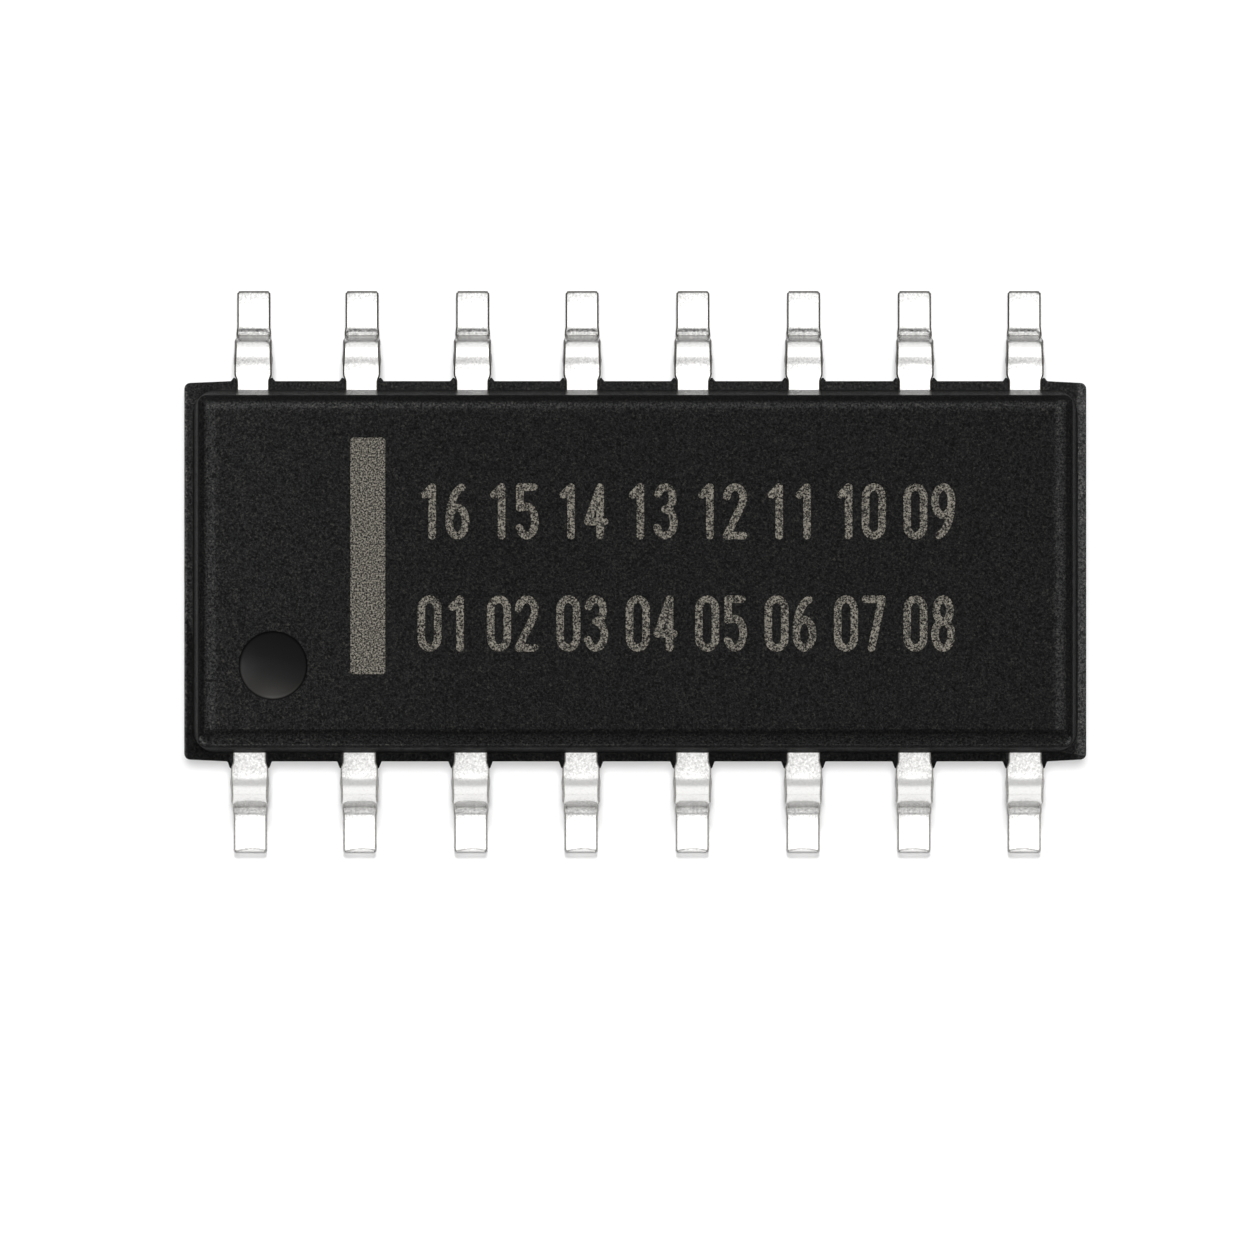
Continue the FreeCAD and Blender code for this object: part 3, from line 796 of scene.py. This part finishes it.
def bump(tree, shader, source, height, strength):
    """A bump of so many millimetres."""
    node = tree.nodes.new("ShaderNodeBump")
    node.inputs["Strength"].default_value = strength
    node.inputs["Distance"].default_value = height * MM
    tree.links.new(source, node.inputs["Height"])
    tree.links.new(node.outputs["Normal"], shader.inputs["Normal"])


def position(tree):
    """The parts of a point's place on the object, in metres."""
    place = tree.nodes.new("ShaderNodeTexCoord")
    parts = tree.nodes.new("ShaderNodeSeparateXYZ")
    tree.links.new(place.outputs["Object"], parts.inputs[0])
    return parts.outputs


def surface_direction(tree):
    """The parts of the surface's direction."""
    surface = tree.nodes.new("ShaderNodeNewGeometry")
    parts = tree.nodes.new("ShaderNodeSeparateXYZ")
    tree.links.new(surface.outputs["Normal"], parts.inputs[0])
    return parts.outputs


def scaled_colour(tree, colour, factor):
    """A colour times a value."""
    node = tree.nodes.new("ShaderNodeVectorMath")
    node.operation = "SCALE"
    tree.links.new(colour, node.inputs[0])
    tree.links.new(factor, node.inputs["Scale"])
    return node.outputs[0]


def level_ramp(tree, source, stops):
    """A ramp of levels up to LEVEL_LIMIT, scaled down to one."""
    return ramp(tree, source, [(place, level / LEVEL_LIMIT) for place, level in stops])


def placed_stops(stops, span):
    """Stops by millimetres from the middle, turned into stops by share of the span."""
    return [(place / span + 0.5, level) for place, level in stops]


LEVEL_LIMIT = 3

# Painted light and shade along X, in millimetres, as levels of the compound's colour: on the
# mould halves, and on the rim. They give dark bands and painted highlights by the end walls, a
# brighter left part of the face, and a lit ledge at both ends of the rim.
FACE_PAINTED_LIGHT = [(-5.2, 0.42), (-5.06, 0.42), (-5.02, 1.8), (-4.95, 1.8), (-4.92, 0.97),
               (-4.2, 0.86), (-2.0, 0.66), (4.80, 0.63), (4.86, 0.88), (4.90, 0.80), (4.93, 0.85),
               (4.96, 1.6), (4.99, 1.6), (5.03, 0.15), (5.2, 0.15)]
RIM_PAINTED_LIGHT = [(-5.2, 2.8), (-5.18, 1.8), (-5.155, 0.70), (-5.0, 0.50), (5.08, 0.50), (5.11, 1.5),
              (5.2, 1.6)]

# The same by the upward part of the surface's direction: painted shade and painted highlights
# on the mould's rounded edges, bevel and walls. The second list is for what faces the near side.
EDGE_PAINTED_LIGHT = [(0.0, 1.1), (0.12, 1.1), (0.20, 0.5), (0.30, 0.20), (0.88, 0.24), (0.93, 0.95),
               (0.96, 1.9), (0.99, 1.9), (0.999, 1.0)]
NEAR_EDGE_PAINTED_LIGHT = [(0.0, 0.80), (0.12, 0.80), (0.20, 0.4), (0.45, 0.4), (0.65, 1.4), (0.725, 3.0),
               (0.76, 3.0), (0.79, 1.6), (0.86, 0.8), (0.92, 0.70), (0.97, 0.70), (0.993, 0.8),
               (1.0, 1.0)]

# The same along Y: a painted dark line of shade where the near bevel starts, and a painted
# highlight along the far edge
SIDE_PAINTED_LIGHT = [(-1.935, 1.0), (-1.90, 0.8), (-1.865, 0.6), (-1.83, 0.9), (-1.78, 1.0), (1.80, 1.0),
               (1.87, 1.3), (1.97, 1.3), (1.99, 1.0)]


def compound_material(name, levels):
    """Black moulding compound: a fine grain with a few pale grains of filler.

    The levels paint light and shade on it along X; more light and shade is painted by the
    surface's direction and along Y.
    """
    material, tree, shader = new_material(name, (0.008, 0.008, 0.008), 0.5, specular=0.022)
    grain = noise(tree, 0.024, 2.0, 0.6, distortion=0.7)
    colour = ramp(tree, grain, [(0.38, (0.0035, 0.0036, 0.0036)), (0.60, (0.0205, 0.0209, 0.0207)),
                                (0.76, (0.055, 0.052, 0.045))])
    place = position(tree)
    along = calculate(tree, "DIVIDE", place["X"], RIM_LENGTH * MM)
    along = calculate(tree, "ADD", along, 0.5)
    gain = level_ramp(tree, along, placed_stops(levels, RIM_LENGTH))
    # Painted light and shade by the surface's direction, from the edge levels, and along Y, from
    # the side levels
    facing = surface_direction(tree)
    is_near = calculate(tree, "LESS_THAN", facing["Y"], -0.1)
    is_other = calculate(tree, "SUBTRACT", 1.0, is_near)
    edge = calculate(tree, "MULTIPLY", level_ramp(tree, facing["Z"], EDGE_PAINTED_LIGHT), is_other)
    near_painted_light = calculate(tree, "MULTIPLY", level_ramp(tree, facing["Z"], NEAR_EDGE_PAINTED_LIGHT), is_near)
    gain = calculate(tree, "MULTIPLY", gain, calculate(tree, "ADD", edge, near_painted_light))
    sideways = calculate(tree, "DIVIDE", place["Y"], RIM_WIDTH * MM)
    sideways = calculate(tree, "ADD", sideways, 0.5)
    side = ramp(tree, sideways, placed_stops(SIDE_PAINTED_LIGHT, RIM_WIDTH))
    gain = calculate(tree, "MULTIPLY", gain, side)
    gain = calculate(tree, "MULTIPLY", gain, LEVEL_LIMIT ** 2)
    tree.links.new(scaled_colour(tree, colour, gain), shader.inputs["Base Color"])
    roughness = ramp(tree, noise(tree, 0.08), [(0.3, 0.44), (0.7, 0.58)])
    tree.links.new(roughness, shader.inputs["Roughness"])
    bump(tree, shader, grain, 0.014, 0.9)
    return material


def polished_material():
    """The same compound where a smooth pin formed it, with painted light: brighter where it faces
    the far side, and a painted dark ring where it is steep.
    """
    material, tree, shader = new_material("mould_compound_polished", (0.007, 0.0072, 0.0071), 0.42,
                                          specular=0.04)
    # Painted light: brighter facing the far side and a little to the right; painted shade on the
    # steep edge
    facing = surface_direction(tree)
    painted_light_facing = calculate(tree, "ADD", calculate(tree, "MULTIPLY", facing["Y"], 0.9),
                        calculate(tree, "MULTIPLY", facing["X"], 0.2))
    painted_light_facing = calculate(tree, "ADD", painted_light_facing, 0.5)
    colour = ramp(tree, painted_light_facing, [(0.15, (0.005, 0.005, 0.005)), (0.42, (0.007, 0.007, 0.007)),
                                  (0.58, (0.011, 0.011, 0.0108)), (0.80, (0.026, 0.025, 0.023))])
    painted_steep_shade = ramp(tree, facing["Z"], [(0.80, 0.05), (0.90, 1.0)])
    tree.links.new(scaled_colour(tree, colour, painted_steep_shade), shader.inputs["Base Color"])
    roughness = ramp(tree, noise(tree, 0.10), [(0.3, 0.37), (0.7, 0.46)])
    tree.links.new(roughness, shader.inputs["Roughness"])
    bump(tree, shader, noise(tree, 0.05), 0.001, 0.4)
    return material


def smooth_compound_material():
    """The compound where the mould is smooth: it shows a lead beside it."""
    material, tree, shader = new_material("mould_compound_smooth", (0.003, 0.003, 0.003), 0.30,
                                          specular=0.20)
    grain = noise(tree, 0.03, 3.0, 0.7)
    colour = ramp(tree, grain, [(0.40, (0.0015, 0.0015, 0.0015)), (0.62, (0.006, 0.0056, 0.0050))])
    tree.links.new(colour, shader.inputs["Base Color"])
    tree.links.new(ramp(tree, grain, [(0.42, 0.22), (0.58, 0.40)]), shader.inputs["Roughness"])
    bump(tree, shader, grain, 0.002, 0.5)
    return material


def mark_material():
    """Laser-marked compound: pale, rough and speckled."""
    material, tree, shader = new_material("laser_mark", (0.105, 0.098, 0.083), 0.85, specular=0.1)
    grain = noise(tree, 0.020, 3.0, 0.7)
    colour = ramp(tree, grain, [(0.41, (0.004, 0.003, 0.003)), (0.50, (0.066, 0.062, 0.053)),
                                (0.58, (0.245, 0.228, 0.193))])
    tree.links.new(colour, shader.inputs["Base Color"])
    bump(tree, shader, grain, 0.006, 0.6)
    return material


# Painted light along a lead: distance from the middle line in millimetres, and share. The bands
# of painted shade and painted reflection stand where the lead bends, and a painted dark line lies
# at the far leads' tips.
FAR_TIN_PAINTED_LIGHT = [(2.09, 1.0), (2.26, 0.98), (2.31, 0.90), (2.37, 0.84), (2.44, 0.86), (2.49, 0.96),
           (2.60, 0.98), (2.63, 0.80), (2.655, 0.20), (2.675, 0.20), (2.692, 0.52), (2.755, 0.54),
           (2.770, 0.20), (2.790, 0.20), (2.805, 0.80), (2.85, 1.0), (3.04, 0.99), (3.10, 0.88),
           (3.20, 0.72), (3.225, 0.20)]
NEAR_TIN_PAINTED_LIGHT = [(2.09, 0.62), (2.28, 0.68), (2.33, 0.80), (2.40, 1.0), (2.50, 1.0), (2.58, 1.0),
            (2.63, 0.90), (2.675, 0.56), (2.70, 0.46), (2.715, 0.58), (2.765, 0.62), (2.775, 0.86),
            (2.80, 0.78), (2.835, 0.88), (2.85, 1.0), (3.188, 1.0), (3.195, 0.5), (3.205, 0.5),
            (3.212, 1.0)]
TIN_START = 2.0
TIN_SPAN = 1.3
ROWS_OFF_CENTRE = 0.030
SPECKLE = 4.0

# How the painted bands bend towards the sides of a lead, and how sharply
FAR_BOW = (0.025, 8.0)
NEAR_BOW = (-0.030, 2.0)


def painted_tin_light(tree, out, stops):
    """The painted light along a lead, where the distance is a share of the span."""
    return ramp(tree, out, [((place - TIN_START) / TIN_SPAN, level) for place, level in stops])


def bowed(tree, aside, curve):
    """How far a band is displaced beside the middle of a lead, as a share of the span."""
    reach, power = curve
    return calculate(tree, "MULTIPLY", calculate(tree, "POWER", aside, power), reach / TIN_SPAN)


def tin_material():
    """Satin tin plating with a fine grain, with painted shade and painted reflections in bands
    where the lead bends.
    """
    material, tree, shader = new_material("tin_plating", (0.93, 0.92, 0.91), 0.22, metallic=1.0)
    place = position(tree)
    out = calculate(tree, "DIVIDE", calculate(tree, "ABSOLUTE", place["Y"]), MM)
    out = calculate(tree, "DIVIDE", calculate(tree, "SUBTRACT", out, TIN_START), TIN_SPAN)
    is_far = calculate(tree, "GREATER_THAN", place["Y"], 0.0)
    is_near = calculate(tree, "SUBTRACT", 1.0, is_far)
    half_pitch = LEAD_PITCH * MM / 2
    aside = calculate(tree, "SUBTRACT", place["X"], ROWS_OFF_CENTRE * MM)
    aside = calculate(tree, "PINGPONG", aside, half_pitch)
    aside = calculate(tree, "SUBTRACT", half_pitch, aside)
    aside = calculate(tree, "DIVIDE", aside, FOOT_WIDTH / 2 * MM)
    far_bow = calculate(tree, "MULTIPLY", bowed(tree, aside, FAR_BOW), is_far)
    near_bow = calculate(tree, "MULTIPLY", bowed(tree, aside, NEAR_BOW), is_near)
    out = calculate(tree, "ADD", out, calculate(tree, "ADD", far_bow, near_bow))
    far = calculate(tree, "MULTIPLY", painted_tin_light(tree, out, FAR_TIN_PAINTED_LIGHT), is_far)
    near = calculate(tree, "MULTIPLY", painted_tin_light(tree, out, NEAR_TIN_PAINTED_LIGHT), is_near)
    level = calculate(tree, "ADD", far, near)
    speckle = calculate(tree, "SUBTRACT", noise(tree, 0.028, 3.0, 0.65), 0.5)
    # The speckle is stronger where the painted bands of shade are darker
    speckle_in_painted_shade = calculate(tree, "MINIMUM", calculate(tree, "SUBTRACT", 1.10, level), 0.25)
    speckle = calculate(tree, "MULTIPLY", speckle, speckle_in_painted_shade)
    level = calculate(tree, "ADD", level, calculate(tree, "MULTIPLY", speckle, SPECKLE))
    colour = tree.nodes.new("ShaderNodeMix")
    colour.data_type = "RGBA"
    colour.inputs["A"].default_value = (0.0, 0.0, 0.0, 1.0)
    colour.inputs["B"].default_value = (0.96, 0.955, 0.94, 1.0)
    tree.links.new(level, colour.inputs["Factor"])
    tree.links.new(colour.outputs["Result"], shader.inputs["Base Color"])
    roughness = ramp(tree, noise(tree, 0.03), [(0.3, 0.16), (0.7, 0.26)])
    tree.links.new(roughness, shader.inputs["Roughness"])
    bump(tree, shader, noise(tree, 0.016, 3.0, 0.6), 0.0008, 0.5)
    return material


def sheared_and_shaded_material():
    """The edges that the punch tore, dull and without tin. On the far row they are painted much
    darker, as shade.
    """
    material, tree, shader = new_material("sheared_edge_and_shade", (0.20, 0.18, 0.15), 0.45, metallic=0.6)
    grain = noise(tree, 0.02, 3.0)
    # Painted shade: the far row's edges are nearly black, the near row's keep their own pale grey
    far = ramp(tree, grain, [(0.35, (0.022, 0.019, 0.015)), (0.65, (0.080, 0.073, 0.060))])
    near = ramp(tree, grain, [(0.35, (0.24, 0.235, 0.22)), (0.65, (0.46, 0.45, 0.43))])
    rows = tree.nodes.new("ShaderNodeMix")
    rows.data_type = "RGBA"
    is_near = calculate(tree, "LESS_THAN", position(tree)["Y"], 0.0)
    tree.links.new(is_near, rows.inputs["Factor"])
    tree.links.new(far, rows.inputs["A"])
    tree.links.new(near, rows.inputs["B"])
    tree.links.new(rows.outputs["Result"], shader.inputs["Base Color"])
    bump(tree, shader, noise(tree, 0.012, 3.0, 0.6), 0.002, 0.6)
    return material


def plain_material(name, colour, roughness, metallic, grain):
    """One colour, with a grain in its gloss."""
    material, tree, shader = new_material(name, colour, roughness, metallic)
    mottle = ramp(tree, noise(tree, grain), [(0.3, roughness * 0.8), (0.7, roughness * 1.2)])
    tree.links.new(mottle, shader.inputs["Roughness"])
    bump(tree, shader, noise(tree, grain / 2), 0.001, 0.4)
    return material


def dress_nodes():
    """Materials of the pieces inside the moulding."""
    copper = plain_material("frame_copper", (0.80, 0.42, 0.28), 0.35, 1.0, 0.06)
    adhesive = plain_material("silver_adhesive", (0.62, 0.62, 0.60), 0.6, 0.0, 0.02)
    silicon = plain_material("silicon", (0.16, 0.17, 0.20), 0.2, 0.0, 0.3)
    gold = plain_material("bond_gold", (0.95, 0.70, 0.30), 0.2, 1.0, 0.01)
    for name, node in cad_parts.items():
        if name == "die_paddle":
            chosen = copper
        elif name == "die_attach":
            chosen = adhesive
        elif name == "die":
            chosen = silicon
        elif name.startswith("bond_wire"):
            chosen = gold
        else:
            continue
        node.data.materials.clear()
        node.data.materials.append(chosen)


# Floor, light and camera

IMAGE_SIZE = 1254
PIXELS_PER_MM = 86.83
RIM_CENTRE_PIXEL = (635.25, 571.25)
LENS = 1000.0
SENSOR = 36.0
FLOOR_SIZE = 3000.0
FLOOR_WHITE = 0.86
FLOOR_GLOW = 0.02
FLOOR_IN_MIRROR = 0.9
SKY_FOR_MATT = 0.06


def make_floor():
    """A white sheet, a little darker where the object mirrors it."""
    bm = bmesh.new()
    bmesh.ops.create_grid(bm, x_segments=2, y_segments=2, size=FLOOR_SIZE / 2)
    material, tree, shader = new_material("white_sheet", [FLOOR_WHITE] * 3, 0.9, specular=0.0)
    path = tree.nodes.new("ShaderNodeLightPath")
    glow = tree.nodes.new("ShaderNodeEmission")
    glow.inputs["Color"].default_value = (1, 1, 1, 1)
    strength = calculate(tree, "MULTIPLY", path.outputs["Is Camera Ray"], FLOOR_GLOW)
    tree.links.new(strength, glow.inputs["Strength"])
    dimming = calculate(tree, "MULTIPLY", path.outputs["Is Glossy Ray"], FLOOR_IN_MIRROR - 1.0)
    level = calculate(tree, "MULTIPLY", calculate(tree, "ADD", dimming, 1.0), FLOOR_WHITE)
    tree.links.new(level, shader.inputs["Base Color"])
    both = tree.nodes.new("ShaderNodeAddShader")
    tree.links.new(shader.outputs["BSDF"], both.inputs[0])
    tree.links.new(glow.outputs["Emission"], both.inputs[1])
    tree.links.new(both.outputs["Shader"], tree.nodes["Material Output"].inputs["Surface"])
    floor = make_object("floor", bm, [material])


GLOSS_WIDTH = 12.0


def add_lamp(name, strength, tilt, width, blockers=None):
    """A far lamp, tilted from straight up towards the far side and the left.

    The blockers are all that shades it.
    """
    data = bpy.data.lights.new(name, "SUN")
    data.energy = strength
    data.angle = math.radians(width)
    lamp = bpy.data.objects.new(name, data)
    lamp.rotation_euler = [math.radians(-angle) for angle in (*tilt, 0)]
    lamp.visible_glossy = False
    bpy.context.scene.collection.objects.link(lamp)
    if blockers:
        shading = bpy.data.collections.new(f"{name}_blockers")
        for blocker in blockers:
            shading.objects.link(blocker)
        lamp.light_linking.blocker_collection = shading
    return lamp


def add_gloss(name, strength, tilt, receivers):
    """A lamp that shows only as a highlight, and only on its receivers."""
    lamp = add_lamp(name, strength, tilt, GLOSS_WIDTH)
    lamp.visible_glossy = True
    lamp.visible_diffuse = False
    lit = bpy.data.collections.new(f"{name}_receivers")
    for receiver in receivers:
        lit.objects.link(receiver)
    lamp.light_linking.receiver_collection = lit


# The strength of the sky by the angle from straight up, in degrees
SKY = [(0, 1.40), (12, 1.40), (20, 0.60), (42, 0.55), (52, 1.00), (84, 1.00), (90, 0.60)]
SKY_LIMIT = 2.0
SKY_SIDE = (0.5, 0.8)
SIDE_BOOST = 0.9


def make_world():
    """The sky: stronger towards the far right, and weaker as a matt light than in mirrors."""
    world = bpy.data.worlds.new("studio")
    bpy.context.scene.world = world
    world.use_nodes = True
    tree = world.node_tree
    place = tree.nodes.new("ShaderNodeTexCoord")
    parts = tree.nodes.new("ShaderNodeSeparateXYZ")
    tree.links.new(place.outputs["Generated"], parts.inputs[0])
    angle = calculate(tree, "DIVIDE", calculate(tree, "ARCCOSINE", parts.outputs["Z"]), math.pi / 2)
    level = ramp(tree, angle, [(degrees / 90, value / SKY_LIMIT) for degrees, value in SKY])
    side = calculate(tree, "ADD", calculate(tree, "MULTIPLY", parts.outputs["X"], SKY_SIDE[0]),
                     calculate(tree, "MULTIPLY", parts.outputs["Y"], SKY_SIDE[1]))
    side = calculate(tree, "MAXIMUM", side, 0.0)
    gain = calculate(tree, "ADD", calculate(tree, "MULTIPLY", side, SIDE_BOOST), 1.0)
    strength = calculate(tree, "MULTIPLY", level, gain)
    strength = calculate(tree, "MULTIPLY", strength, SKY_LIMIT)
    path = tree.nodes.new("ShaderNodeLightPath")
    share = calculate(tree, "MULTIPLY", path.outputs["Is Diffuse Ray"], SKY_FOR_MATT - 1.0)
    strength = calculate(tree, "MULTIPLY", strength, calculate(tree, "ADD", share, 1.0))
    background = tree.nodes["Background"]
    background.inputs["Color"].default_value = (1, 1, 1, 1)
    tree.links.new(strength, background.inputs["Strength"])


def make_camera():
    """A distant camera straight above, with the object where the photograph has it."""
    data = bpy.data.cameras.new("camera")
    data.sensor_width = SENSOR
    data.lens = LENS
    camera = bpy.data.objects.new("camera", data)
    bpy.context.scene.collection.objects.link(camera)
    width = IMAGE_SIZE / PIXELS_PER_MM
    distance = width / SENSOR * LENS
    aim_x = (IMAGE_SIZE / 2 - RIM_CENTRE_PIXEL[0]) / PIXELS_PER_MM
    aim_y = -(IMAGE_SIZE / 2 - RIM_CENTRE_PIXEL[1]) / PIXELS_PER_MM
    camera.location = Vector((aim_x, aim_y, LEAD_TOP + distance)) * MM
    data.clip_start = 0.01
    data.clip_end = 10.0
    bpy.context.scene.camera = camera


compound = compound_material("mould_compound", FACE_PAINTED_LIGHT)
rim_compound = compound_material("mould_compound_rim", RIM_PAINTED_LIGHT)
polished = polished_material()
mark = mark_material()
tin = tin_material()
sheared_and_shaded = sheared_and_shaded_material()
smooth_compound = smooth_compound_material()
moulding = make_moulding(compound, rim_compound, smooth_compound, polished, mark)
leads = [make_lead(pin, tin, sheared_and_shaded) for pin in range(1, 2 * LEADS_PER_ROW + 1)]
dress_nodes()
make_floor()
make_world()
add_lamp("top_lamp", 1.85, (5.0, 0.0), 9.0)
add_lamp("low_lamp", 1.9, (24.0, 0.0), 10.0, leads)
add_gloss("far_gloss", 5.0, (45, 0), moulding)
add_gloss("right_gloss", 3.0, (6, -36), moulding)
make_camera()
bpy.context.scene.view_settings.view_transform = "Standard"
